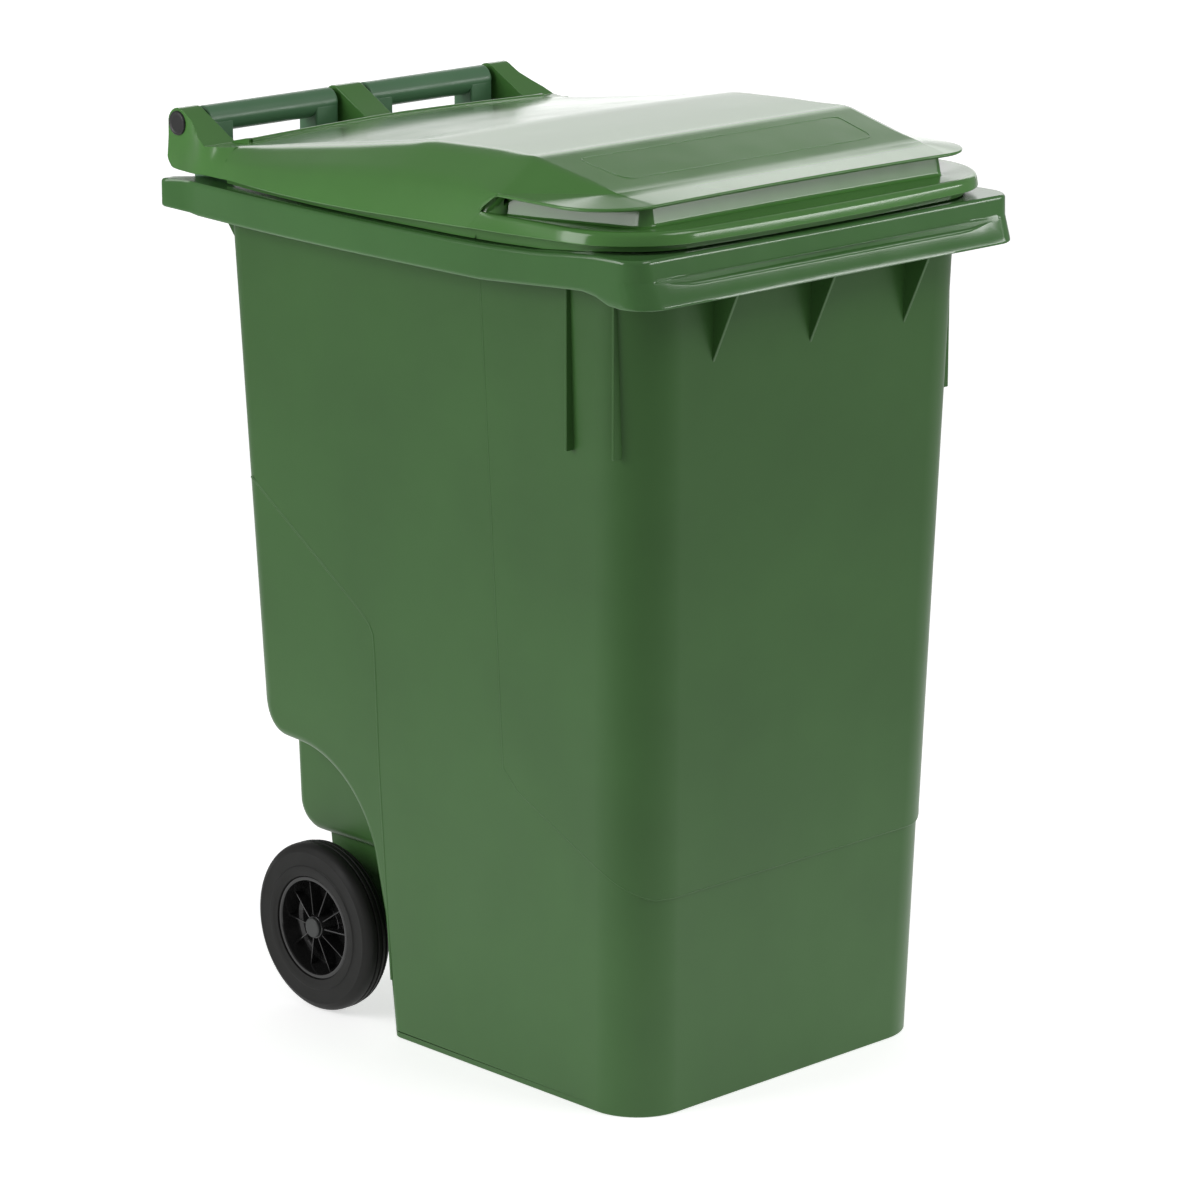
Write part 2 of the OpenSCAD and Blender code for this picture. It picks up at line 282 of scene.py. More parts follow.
def rubber(name):
    """Matt black rubber with a fine grain and cloudy gloss."""
    material, tree, shader = node_material(name)
    cloud = noise_node(tree, 30.0, 5.0)
    ramped(tree, cloud, RUBBER_STOPS, shader.inputs["Base Color"])
    ramped(tree, cloud, [(0.3, 0.52), (0.75, 0.68)], shader.inputs["Roughness"])
    tree.links.new(bump_normal(tree, noise_node(tree, 1400.0), 0.5, 0.05), shader.inputs["Normal"])
    shader.inputs["Specular IOR Level"].default_value = 0.25
    return material


def zinc(name):
    """Zinc-plated steel, drawn lengthwise."""
    material, tree, shader = node_material(name)
    ramped(tree, noise_node(tree, 60.0, 4.0), ZINC_STOPS, shader.inputs["Base Color"])
    ramped(tree, noise_node(tree, 300.0, 2.0, (8, 1, 1)), [(0.3, 0.25), (0.7, 0.42)], shader.inputs["Roughness"])
    shader.inputs["Metallic"].default_value = 1.0
    return material


BODY = plastic("body_green", (0.041, 0.116, 0.0275), 0.36,
               grain=0.5, bump=0.06, speckle=700.0, wave=0.25, shine=0.34)
RIM = plastic("rim_green", (0.055, 0.152, 0.042), 0.16, grain=0.4, bump=0.03, speckle=800.0, wave=0.1)
LID = plastic("lid_green", (0.074, 0.208, 0.048), 0.15, grain=0.3, bump=0.012, speckle=900.0, wave=0.1)
BAR = plastic("handle_green", (0.09, 0.205, 0.106), 0.34, grain=0.3, bump=0.02, speckle=600.0, wave=0.15)
PIN = plastic("pin_black", (0.016, 0.016, 0.016), 0.42, grain=0.5, bump=0.05)
HUB = plastic("hub_black", (0.009, 0.009, 0.009), 0.13, grain=0.3, bump=0.02, wave=0.05)
CAP = plastic("cap_black", (0.028, 0.03, 0.029), 0.5, grain=0.6, bump=0.06)
TYRE = rubber("tyre_black")
STEEL = zinc("zinc_plate")
SPACER = plastic("spacer_black", (0.02, 0.02, 0.02), 0.45, grain=0.5, bump=0.05)


# ---- Tub ----

BASE_W, TOP_W, TUB_H = 482, 537, 987
WALL = 4.5
FRONT_R, REAR_R = 65, 30
FOOT_Z, FOOT_R = 7, 14
FLOOR_Z = 5
BASE_CUT = 0.9
BELLY_X, UNDER_Z = 196, 200
BELLY_R, BELLY_EDGE = 38, 14.0
WING_Z, WING_R = 380, 50
# Centre and radius of the wheel arch in Y and Z, and the radius of its edge
ARCH = (223, 188, 141)
ARCH_EDGE = 12
CORNER_STEPS = 14
FIELD_OUT = 2.5
FIELD_EDGE = ((0, FIELD_OUT), (0.9, FIELD_OUT - 0.15), (1.6, FIELD_OUT - 0.7), (2.0, FIELD_OUT - 1.5), (2.2, -1.0))
# Y and height of the raised field's lower border, from the front backwards, and where its rear border ends
FIELD_LOW = [(-354, 262), (-306, 293), (-175, 356), (-151, 379)]
FIELD_TOP_Y = -133
# Outlines in (y, z) of the webs under the comb and under the rim, with the X of each
FRONT_WEB = [(-372, 857), (-377.5, 862), (-419, 952), (-405, 984), (-372, 984)]
REAR_WEB = [(300, 880), (310, 885), (372, 958), (380, 973), (300, 979)]
EAR_WEB = [(280, 914), (300, 916), (324, 945), (338, 978), (280, 978)]
WEBS = ((FRONT_WEB, (-152, 0, 152)), (REAR_WEB, (-206, -45, 45, 206)), (EAR_WEB, (-252, 252)))
# Front, back and reach in X of the upright fins, and their feet's height and their length
FINS = ((-345, -341, 268), (-278, -274, 275))
FIN_LOW, FIN_LENGTH, FIN_ROOT = 772, 184, 232
# The soft line that runs down the side to the wheel arch, in (y, z)
ARCH_LINE = [(280, 644), (177, 574), (92, 517), (76, 503), (70, 492), (68.5, 470), (67, 335), (63, 218), (58, 70)]
EYE_X, EYE_WIDTH, EYE_R = 168, 34, 26


def half_w(z):
    return mix(BASE_W, TOP_W, z / TUB_H) / 2


def wall_front(z):
    return mix(-354, -382, z / TUB_H)


def wall_rear(z):
    return mix(270, 315, z / TUB_H)


def foot_rear(z):
    return 59.9 + 0.081 * z


def front_half(z, inset):
    """Plan outline from the front's middle to where the side becomes straight, on the +X side."""
    r = FRONT_R - inset
    x, y = half_w(z) - inset - r, wall_front(z) + inset + r
    return [(x + a, y + b) for a, b in arc(0, 0, r, -90, 0, CORNER_STEPS)]


def offset_path(path, distances):
    """A (y, z) path moved along its normals, to the right of its direction, by distances."""
    moved = []
    for i, (y, z) in enumerate(path):
        a, b = path[max(0, i - 1)], path[min(len(path) - 1, i + 1)]
        dy, dz = b[0] - a[0], b[1] - a[1]
        size = math.hypot(dy, dz)
        moved.append((y - dz / size * distances[i], z + dy / size * distances[i]))
    return moved


def rear_chain():
    """The tub's rear outline beside the wheels, from the top down: (y, z) and the radius of its edge."""
    rear = wall_rear(WING_Z)
    chain = [(wall_rear(z), z, REAR_R) for z in (TUB_H, 700, WING_Z + 40)]
    wing = arc(rear - WING_R, WING_Z, WING_R, 0, -90, 10)
    chain += [(y, z, mix(REAR_R, ARCH_EDGE, ease(i / 10))) for i, (y, z) in enumerate(wing)]
    chain += [(y, z, ARCH_EDGE) for y, z in arc(*ARCH, 92, 165, 20)]
    chain += [(80, 190, 12.5), (foot_rear(150), 150, 13)]
    chain += [(foot_rear(z), z, FOOT_R) for z in (90, FOOT_Z)]
    return chain


def rear_edge(chain, inset):
    """The side's rounded rear edge, a row of points for each entry of the chain, and its outward directions."""
    path = [(y, z) for y, z, _ in chain]
    reach = [max(3, r - inset) for _, _, r in chain]
    surface = offset_path(path, [-inset] * len(path))
    edge = offset_path(surface, [-r for r in reach])
    rows, outward = [], []
    for (y, z), (ey, ez), r in zip(surface, edge, reach):
        ny, nz = y - ey, z - ez
        row = []
        for j in range(7):
            a = math.radians(90 * j / 6)
            py, pz = ey + ny * math.sin(a), ez + nz * math.sin(a)
            row.append((half_w(pz) - inset - r * (1 - math.cos(a)), py, pz))
        rows.append(row)
        outward.append((ny / r, nz / r))
    return rows, outward


def add_walls(shape, rows, inset):
    """The flat side, the rounded front corner and the front."""
    low, high = front_half(FOOT_Z, inset), front_half(TUB_H, inset)
    outline = [row[0] for row in rows]
    outline[0] = (half_w(TUB_H) - inset, outline[0][1], TUB_H)
    outline.append((half_w(FOOT_Z) - inset, low[-1][1], FOOT_Z))
    outline.append((half_w(TUB_H) - inset, high[-1][1], TUB_H))
    shape.face(outline)
    shape.skin([[(x, y, FOOT_Z) for x, y in low], [(x, y, TUB_H) for x, y in high]])
    shape.face([(0, wall_front(FOOT_Z) + inset, FOOT_Z), (*low[0], FOOT_Z),
                (*high[0], TUB_H), (0, wall_front(TUB_H) + inset, TUB_H)])


def add_recess(shape, chain, rows, outward, inset):
    """The rear wall above and below the wheel's recess, and the recess's roof; returns the roof's inner line."""
    first = next(i for i, (_, z, _) in enumerate(chain) if z <= WING_Z + 0.1)
    last = next(i for i, (_, z, _) in enumerate(chain) if z < UNDER_Z)
    for i in range(len(rows) - 1):
        a, b = rows[i][-1], rows[i + 1][-1]
        if i < first or i >= last:
            shape.face([a, b, (0, b[1], b[2]), (0, a[1], a[2])])
    roof = []
    for i in range(first, last + 1):
        x, y, z = rows[i][-1]
        r = min(6 + inset, 0.45 * (rows[first][-1][1] - y)) if i < last else 1
        ny, nz = outward[i]
        row = [(x, y, z)]
        for j in range(5):
            a = math.radians(90 * j / 4)
            away = 1 - math.cos(a)
            row.append((BELLY_X - inset + r * (1 - math.sin(a)), y + ny * r * away, z + nz * r * away))
        roof.append(row)
    shape.skin(roof)
    return [row[-1] for row in roof]


def add_belly(shape, roof_line, inset):
    """The belly between the wheels, with its side up to the recess's roof."""
    low = UNDER_Z + inset
    path = [(wall_rear(z) - inset, z) for z in (WING_Z, 366, 352, 340, 326, 300, 270, low + BELLY_R)]
    path += arc(path[-1][0] - BELLY_R, low + BELLY_R, BELLY_R, 0, -90, 8)[1:]
    path += [(180, low), (120, low), roof_line[-1][1:]]
    # Radius of the side's edge: it grows as the roof leaves the rear wall, and ends at the foot
    reach = []
    for _, z in path[:5]:
        gap = WING_R - math.sqrt(max(0.0, WING_R ** 2 - (WING_Z - z) ** 2))
        reach.append(min(BELLY_EDGE, 0.4 * gap))
    reach += [BELLY_EDGE] * (len(path) - 6) + [0.0]
    reach = [max(0.0, r - inset / 2) for r in reach]
    edge = offset_path(path, [-r for r in reach])
    rows = []
    for (y, z), (ey, ez), r in zip(path, edge, reach):
        row = []
        for j in range(6):
            a = math.radians(90 * j / 5)
            x = BELLY_X - inset - r * (1 - math.cos(a))
            row.append((x, ey + (y - ey) * math.sin(a), ez + (z - ez) * math.sin(a)))
        row.append((0, y, z))
        rows.append(row)
    shape.skin(rows)
    shape.face([row[0] for row in rows] + list(reversed(roof_line)))


def add_foot(shape, inset):
    """The foot below FOOT_Z: the tub's own base, or inside it the floor."""
    levels = [(FOOT_Z, 0), (FLOOR_Z, 0)] if inset else [(FOOT_Z, 0), (BASE_CUT, 0), (0, BASE_CUT)]
    rings = []
    for z, cut in levels:
        draw = inset + cut
        r = max(1.5, FOOT_R - draw)
        x, y = half_w(z) - draw - r, foot_rear(z) - draw - r
        corner = [(x + a, y + b) for a, b in arc(0, 0, r, 0, 90, 6)]
        ring = [(0, wall_front(z) + draw)] + front_half(z, draw) + corner + [(0, y + r)]
        rings.append([(a, b, z) for a, b in ring])
    shape.skin(rings)
    shape.face(rings[-1])


def tub_skin(inset):
    """The tub's skin on the +X side, drawn in by inset all round."""
    shape = Shape()
    chain = rear_chain()
    rows, outward = rear_edge(chain, inset)
    shape.skin(rows)
    add_walls(shape, rows, inset)
    roof_line = add_recess(shape, chain, rows, outward, inset)
    add_belly(shape, roof_line, inset)
    add_foot(shape, inset)
    return shape


def surface_point(kind, at, z, out):
    """A point out millimetres proud of the tub's front or side: at is X, an angle or Y."""
    r = FRONT_R + out
    x, y = half_w(z) + out, wall_front(z) - out
    if kind == "front":
        return (at, y, z)
    if kind == "corner":
        a = math.radians(at)
        return (x - r + r * math.cos(a), y + r + r * math.sin(a), z)
    return (x, at, z)


def wire(points, normal, width, height, closed=False):
    """A fine raised line along 3-D points; normal(point) is the surface's outward direction."""
    section = ((1, -0.3), (0.8, height * 0.5), (0.35, height), (-0.35, height), (-0.8, height * 0.5), (-1, -0.3))
    rows = []
    n = len(points)
    for i, point in enumerate(points):
        a = Vector(points[i - 1] if (i or closed) else points[i])
        b = Vector(points[(i + 1) % n] if (i < n - 1 or closed) else points[i])
        p = Vector(point)
        up = Vector(normal(p)).normalized()
        side = (b - a).cross(up).normalized()
        rows.append([tuple(p + side * width * s + up * h) for s, h in section])
    return skinned(rows, looped=closed)


def raised_field():
    """The field of the front and sides that stands proud, its rounded border and a fine bead along that."""
    lowest = FIELD_LOW[0][1]
    corner_z = 270
    bottoms = [("front", 0, lowest), ("front", half_w(lowest) - FRONT_R, lowest)]
    tops = [("front", 0, TUB_H), ("front", half_w(TUB_H) - FRONT_R, TUB_H)]
    for i in range(1, CORNER_STEPS + 1):
        angle = -90 + 90 * i / CORNER_STEPS
        y = surface_point("corner", angle, corner_z, 0)[1]
        bottoms.append(("corner", angle, table(y, FIELD_LOW)[0]))
        tops.append(("corner", angle, TUB_H))
    for i in range(1, 9):
        y = mix(wall_front(corner_z) + FRONT_R, FIELD_LOW[2][0], i / 8)
        bottoms.append(("side", y, table(y, FIELD_LOW)[0]))
        tops.append(("side", mix(wall_front(TUB_H) + FRONT_R, FIELD_TOP_Y - 3, i / 8), TUB_H))
    end_y, end_z = FIELD_LOW[-1]
    bottoms.append(("side", end_y, end_z))
    tops.append(("side", FIELD_TOP_Y, TUB_H))
    shape = Shape()
    shape.skin([[surface_point(*b, FIELD_OUT) for b in bottoms], [surface_point(*t, FIELD_OUT) for t in tops]])
    # Border: outwards along the field's edge, then down into the tub's wall
    path = bottoms + [("side", mix(end_y, FIELD_TOP_Y, t), mix(end_z, TUB_H, t)) for t in (0.25, 0.5, 0.75, 1)]
    rows = []
    for away, lift in FIELD_EDGE:
        row = []
        for i, (kind, at, z) in enumerate(path):
            if kind != "side":
                row.append(surface_point(kind, at, z - away, lift))
                continue
            back, ahead = path[i - 1], path[min(i + 1, len(path) - 1)]
            back_y = back[1] if back[0] == "side" else at - 1
            dy, dz = ahead[1] - back_y, ahead[2] - back[2]
            size = math.hypot(dy, dz)
            row.append(surface_point("side", at + away * dz / size, z - away * dy / size, lift))
        rows.append(row)
    shape.skin(rows)
    bead = [surface_point(*p, FIELD_OUT - 0.15) for p in path]
    shape.add(wire(bead, field_normal, 0.6, 0.32))
    return shape.both()


def field_normal(point):
    """Outward direction of the tub's front, corner or side at a point."""
    past_x = point.x - half_w(point.z) + FRONT_R
    past_y = point.y - wall_front(point.z) - FRONT_R
    return (max(0.0, past_x), min(0.0, past_y), 0)


def upright_web(outline, x, thick=4.0):
    """A flat web across X at x from a (y, z) outline."""
    return prism(outline, lambda y, z, end: (x + thick * (end - 0.5), y, z))


def upright_fins():
    """Two fins on each side, below the comb's ends."""
    fins = Shape()
    for low, high, reach in FINS:
        outline = [(low, FIN_ROOT), (low, reach), (high, reach), (high, FIN_ROOT)]
        for way in (-1, 1):
            fins.add(prism(outline, lambda y, x, end, way=way: (way * x, y, FIN_LOW + FIN_LENGTH * end)))
    return fins


def axle_eyes():
    """The two blocks under the belly that carry the axle."""
    outline = arc(AXLE_Y, WHEEL_Z, EYE_R, 200, 360, 16)
    outline += [(AXLE_Y + 40, UNDER_Z + 2), (foot_rear(UNDER_Z) - 2, UNDER_Z + 2), (foot_rear(120) - 2, 120)]
    eyes = Shape()
    for x in (-EYE_X, EYE_X):
        eyes.add(upright_web(outline, x, EYE_WIDTH))
    return eyes


def build_tub():
    webs = Shape()
    for outline, places in WEBS:
        for x in places:
            webs.add(upright_web(outline, x))
    line = wire([(half_w(z), y, z) for y, z in ARCH_LINE], lambda point: (1, 0, 0), 1.6, 0.5)
    pieces = [part("tub_skin", tub_skin(0).both(), sharp=40),
              part("tub_lining", tub_skin(WALL).both(), sharp=50),
              part("tub_field", raised_field(), sharp=70),
              part("tub_line", line.both(), sharp=80),
              part("tub_webs", webs, bevel=0.9, segments=2),
              part("tub_fins", upright_fins(), bevel=1.0, segments=3),
              part("tub_eyes", axle_eyes(), bevel=2.0, segments=3)]
    tub = joined("tub_shell", pieces)
    return shown(tub, BODY, "bin", "body_plastic", "tub")


# ---- Rim and comb ----

RIM_H, RIM_REAR, COMB_Y = 991, 390, -410
# In front of COMB_END_Y the rim keeps its width; the ears of the handles begin at EAR_Y
COMB_END_Y, EAR_Y = -386, 352
REAR_HALF, TURN_R = 294, 4
HANDLE_CUT = 11
# The comb's outer edge: distance inward and height below the top
RIM_EDGE = ((9, 0), (4.2, 0), (2.4, -0.45), (1.0, -1.5), (0.2, -3.0), (0, -4.6))
# The groove along the comb's front: depth below its upper line, and reach outward
COMB_GROOVE = ((-2.4, 0), (-1.2, 0), (-0.4, -0.9), (0.3, -0.8), (0.8, 1.2), (1.4, 3.0),
               (5.2, 3.4), (6.8, 0.2), (7.5, -0.9), (8.6, -1.1), (10.4, -0.2), (11.6, 0))


def rim_x(y):
    return 307 - (0.000037 if y < -10 else 0.00015) * (y + 10) ** 2


def comb_y(z):
    """Front face of the comb's plain outline at height z."""
    return table(z, [(950, -425), (979, -413), (1003, COMB_Y)])[0]


def rim_top(y):
    return table(y, [(-350, 1003), (-305, 999.5), (-260, 995), (-190, 992), (-120, RIM_H), (400, RIM_H)])[0]


def rim_foot(y):
    return table(y, [(-372, 950), (-362, 952.5), (-352, 957.5), (-342, 961), (-330, 962),
                     (-300, 960.5), (-170, 952), (340, 952), (390, 958)])[0]


def rim_station(kind, t):
    """One station of the rim on the +X side: its opening point, and outline(z) for its outer face."""
    hw, y0, y1 = half_w(TUB_H) - WALL, wall_front(TUB_H) + WALL, wall_rear(TUB_H) - WALL
    rf, rr = FRONT_R - WALL, REAR_R - WALL
    corner_x = rim_x(COMB_END_Y)

    def corner_r(z):
        return mix(34, 25, (z - 950) / 53)

    if kind == "front":
        return (t * (hw - rf), y0), lambda z: (t * (corner_x - corner_r(z)), comb_y(z))
    if kind == "corner":
        a = math.radians(-90 + 90 * t)
        opening = (hw - rf + rf * math.cos(a), y0 + rf + rf * math.sin(a))

        def outer(z):
            r = corner_r(z)
            return (corner_x - r + r * math.cos(a), comb_y(z) + r + r * math.sin(a))
        return opening, outer
    if kind == "side":
        start = y0 + rf

        def outer(z):
            y = mix(comb_y(z) + corner_r(z), EAR_Y, t)
            return (rim_x(max(y, COMB_END_Y)), y)
        return (hw, mix(start, y1 - rr, t)), outer
    if kind == "ear":
        a = math.radians(60 * t)
        point = mix(287.4, 297.5, t), mix(EAR_Y, 385, t)
        return (hw - rr + rr * math.cos(a), y1 - rr + rr * math.sin(a)), lambda z: point
    if kind == "turn":
        a = math.radians(60 + 30 * t)
        b = math.radians(17 + 73 * t)
        point = REAR_HALF + TURN_R * math.cos(b) - 0.3, RIM_REAR - TURN_R + TURN_R * math.sin(b)
        return (hw - rr + rr * math.cos(a), y1 - rr + rr * math.sin(a)), lambda z: point
    return (mix(hw - rr, 0, t), y1), lambda z: (mix(REAR_HALF, 0, t), RIM_REAR)


def rim_profile(kind, t):
    """The rim's closed section at a station, from its opening over the top and down the outside."""
    (ox, oy), outer = rim_station(kind, t)
    x, y = outer(980)
    top, foot = rim_top(y), rim_foot(y)
    # The rear is lowered under the handles, and the comb's groove ends in a point
    drop = HANDLE_CUT * ease((278 - x) / 8) if kind == "rear" else 0.0
    groove = ease((272 - x) / 60) if kind == "front" else 0.0
    edge, line = top - drop, top - mix(24, 23, groove)
    px, py = outer(top)
    size = math.hypot(px - ox, py - oy)
    ux, uy = (px - ox) / size, (py - oy) / size
    flat = min(max(3.0, size - 30), size - 12) if kind == "rear" else 3

    def past_opening(d, z):
        return (ox + ux * d, oy + uy * d, z)

    def inward(z, d):
        px, py = outer(z)
        dx, dy = ox - px, oy - py
        size = math.hypot(dx, dy)
        return (px + dx / size * d, py + dy / size * d, z)

    def outward_y(z, shift):
        px, py = outer(z)
        return (px, py + shift, z)

    points = [(ox, oy, TUB_H - 12), (ox, oy, top - 1.6)]
    points += [past_opening(0.6, top - 0.5), past_opening(2, top), past_opening(flat, top)]
    points += [inward(edge + z, d) for d, z in RIM_EDGE]
    points.append(inward(edge - 6.2, 0))
    for down, shift in COMB_GROOVE:
        depth = down if down < 0.5 else 0.5 + (down - 0.5) * mix(0.2, 1, groove)
        points.append(outward_y(line - depth, shift * min(1, 2.2 * groove)))
    points.append(outward_y(mix(line, foot, 0.72), 0))
    points += [inward(foot + z, d) for d, z in ((0, 3.0), (0.4, 1.2), (1.6, 0.2), (3.2, 0.6), (4.2, 6))]
    points.append(inward(top - 8 - drop, 5.0))
    points += [past_opening(7, top - 5.5), past_opening(5.2, TUB_H - 12)]
    return points + points[:1]


def build_rim():
    counts = (("front", 16), ("corner", 12), ("side", 40), ("ear", 4), ("turn", 4), ("rear", 24))
    stations = [("front", 0)] + [(kind, i / n) for kind, n in counts for i in range(1, n + 1)]
    shape = skinned([rim_profile(*s) for s in stations])
    rim = part("rim_shell", shape.both(), sharp=38, weld=0.05, keep_flat=False)
    return shown(rim, RIM, "bin", "body_plastic", "rim")


# ---- Lid ----

# The front crease and the lid's peak, and where its side ends at the lugs
CREASE_Y, CREASE_Z = -321, 1058
PEAK_Y, PEAK_Z = -197, 1084.8
SIDE_END_Y = 331
# y, then x and z of the crease, of the shoulder, of the ridge above the lower edge, and of that edge
LID_ROWS = [
    (-321, 239, 1058, 239, 1058, 239, 1058, 239, 1058),
    (-197, 250, 1084.8, 300, 1050, 304.5, 1028, 306.8, 1007.6),
    (-114, 250, 1084.2, 295, 1051, 304.5, 1026, 307.8, 1005.3),
    (-25, 250, 1081, 294, 1049, 303.5, 1024, 307.8, 1002.8),
    (20, 250, 1074, 293, 1045, 303, 1022, 307.5, 1001.4),
    (100, 250, 1062, 291, 1038, 301, 1019, 306, 1000.3),
    (150, 250.5, 1055, 288.5, 1033, 297.5, 1017, 303, 1000),
    (192, 252, 1049, 286, 1029.5, 294, 1015.5, 299.5, 999.9),
    (250, 258, 1040.5, 283, 1024, 288.5, 1013, 293, 1000.6),
    (302, 268, 1034, 279, 1021, 281.5, 1012, 284.5, 1000.3),
    (331, 279, 1033, 281, 1023, 282, 1013, 283, 1000)]
LID_T, LID_REAR, LID_REAR_Z, LID_TOP = 4.0, 303, 1003, 1084.9
LID_CROWN = [(-197, 0), (-114, 0.4), (-25, 1.8), (60, 5), (150, 7.5), (250, 8.5), (302, 8)]
LID_STATIONS = [LID_REAR - 3, 285, 268, 250, 221, 192, 171, 150, 125, 100, 80, 60, 40, 27, 20, 13, 0, -11, -25, -39,
                -55, -85, -114, -135, -151, -160, -172, -177, -183, -190, -194, -198, -204, -211, -220, -240,
                -260, -280, -296, -306, -309.75, -313.5, -317.25, -321]
# The hand groove in the lid's side ends here
OPENING_Y = -198
SEAL_GAP = 1.8
FLANGE_EDGE = ((-2.2, 0), (-0.9, 0.15), (-0.2, 0.8), (0, 1.8), (-0.2, 2.8), (-0.9, 3.6), (-2.2, 3.9))
HINGE_Y, HINGE_Z, LUG_R = 400, 1050, 18
LIP_X = 232
# Heights down the hand groove's rear end
GROOVE_END = (1049, 1047, 1044.5, 1042, 1039, 1036, 1033, 1030, 1027.6)


def lid_at(y):
    """The row of LID_ROWS at y, with its kinks smoothed; in front of OPENING_Y the lower points don't count."""
    reach = min(8.0, y - CREASE_Y, SIDE_END_Y - y) if y > -305 else 0
    total = [0.0] * 8
    for d in (-1, -0.5, 0, 0.5, 1):
        row = table(y + d * reach, LID_ROWS)
        total = [a + b / 5 for a, b in zip(total, row)]
    if y >= OPENING_Y:
        low = table(max(y, PEAK_Y), LID_ROWS)
        total[2:] = [mix(a, b, ease((-170 - y) / 20)) for a, b in zip(total[2:], low[2:])]
    else:
        total[2:] = table(PEAK_Y if y > -205 else y, LID_ROWS)[2:]
    return total


def soft_crease(d):
    """Height added by the soft hollow where the front slope meets the flange, d millimetres away."""
    return 0.45 * max(0.0, 1 - d / 15) ** 2


def opening_y(z):
    """Y where the side ends at height z: the parting line and the rear end of the hand groove."""
    return table(z, [(1004, -151), (1027, -172), (1030, -174), (1036, -177),
                     (1042, -183), (1047, -190), (1050, OPENING_Y)])[0]


def rounded(points, reaches, counts):
    """A path of 3-D points with its inner corners rounded over the given reach."""
    out = [points[0]]
    for i in range(1, len(points) - 1):
        a, p, b = (Vector(points[k]) for k in (i - 1, i, i + 1))
        reach, count = reaches[i - 1], counts[i - 1]
        start = p + (a - p) * min(0.45, reach / max((a - p).length, 0.01))
        end = p + (b - p) * min(0.45, reach / max((b - p).length, 0.01))
        for j in range(count):
            t = j / (count - 1)
            out.append(tuple(start * (1 - t) ** 2 + p * (2 * t * (1 - t)) + end * t * t))
    out.append(points[-1])
    return out


def lid_section(y):
    """Outer path from the middle to the lower edge, and the path back along the inside."""
    kx, kz, mx, mz, rx, rz, lx, lz = lid_at(y)
    kz += soft_crease(y - CREASE_Y)
    crease = mix(6, 15, ease((y + 205) / 60)) * ease((y - CREASE_Y) / 40)
    shoulder = 14 * ease((y - OPENING_Y) / 45)
    crown = table(y, LID_CROWN)[0]

    def top(t):
        return (kx * t, y, min(kz + crown * (1 - t * t), LID_TOP))

    outer = [top(t) for t in (0, 0.2, 0.4, 0.6, 0.75)]
    outer += rounded([top(0.87), (kx, y, kz), (mx, y, mz), (rx, y, rz), (lx, y, lz + 1.4)],
                     (crease, shoulder, 9), (9, 7, 5))
    seal = rim_top(y) + SEAL_GAP
    lip = [(lx - 0.5, y, lz + 0.4), (lx - 1.6, y, lz), (lx - 3.2, y, lz + 1), (lx - 14, y, lz + 5),
           (lx - 14.5, y, seal), (lx - 17, y, seal), (lx - 17.5, y, lz + 9)]
    inner = [(min(rx - 6, lx - 17), y, rz + 3), (mx - 6, y, mz - 3.5)]
    inner += [(x, y, z - LID_T) for x, _, z in (top(0.98), top(0.75), top(0.4), top(0))]
    return outer, lip + inner


def cut_off(y, which, movable):
    """One path of the section at y (0 outer, 1 inner), its movable points held back at the opening's edge."""
    path = []
    for i, p in enumerate(lid_section(y)[which]):
        if i in movable:
            end = opening_y(p[2] if y > OPENING_Y else lid_section(OPENING_Y)[which][i][2])
            p = lid_section(end)[which][i] if y < end else p
        path.append(p)
    return path


def lid_upper():
    """The lid's top, sides and rear wall, outside and inside."""
    outer_rows = [cut_off(y, 0, range(19, 28)) for y in LID_STATIONS]
    inner_rows = [cut_off(y, 1, range(9)) for y in LID_STATIONS]
    shape = Shape()
    shape.skin([a + b[:4] for a, b in zip(outer_rows, inner_rows)])
    shape.skin([b[3:] for b in inner_rows])
    outer = lid_section(LID_STATIONS[0])[0]
    rear = [outer]
    for out, drop in ((1.2, 0.3), (2.3, 1.2), (3.0, 2.8)):
        rear.append([(x - drop * (x / 300), y + out, max(z - drop, LID_REAR_Z)) for x, y, z in outer])
    shape.skin(rear)
    shape.skin([rear[-1], [(x, y, LID_REAR_Z) for x, y, z in rear[-1]]])
    return shape


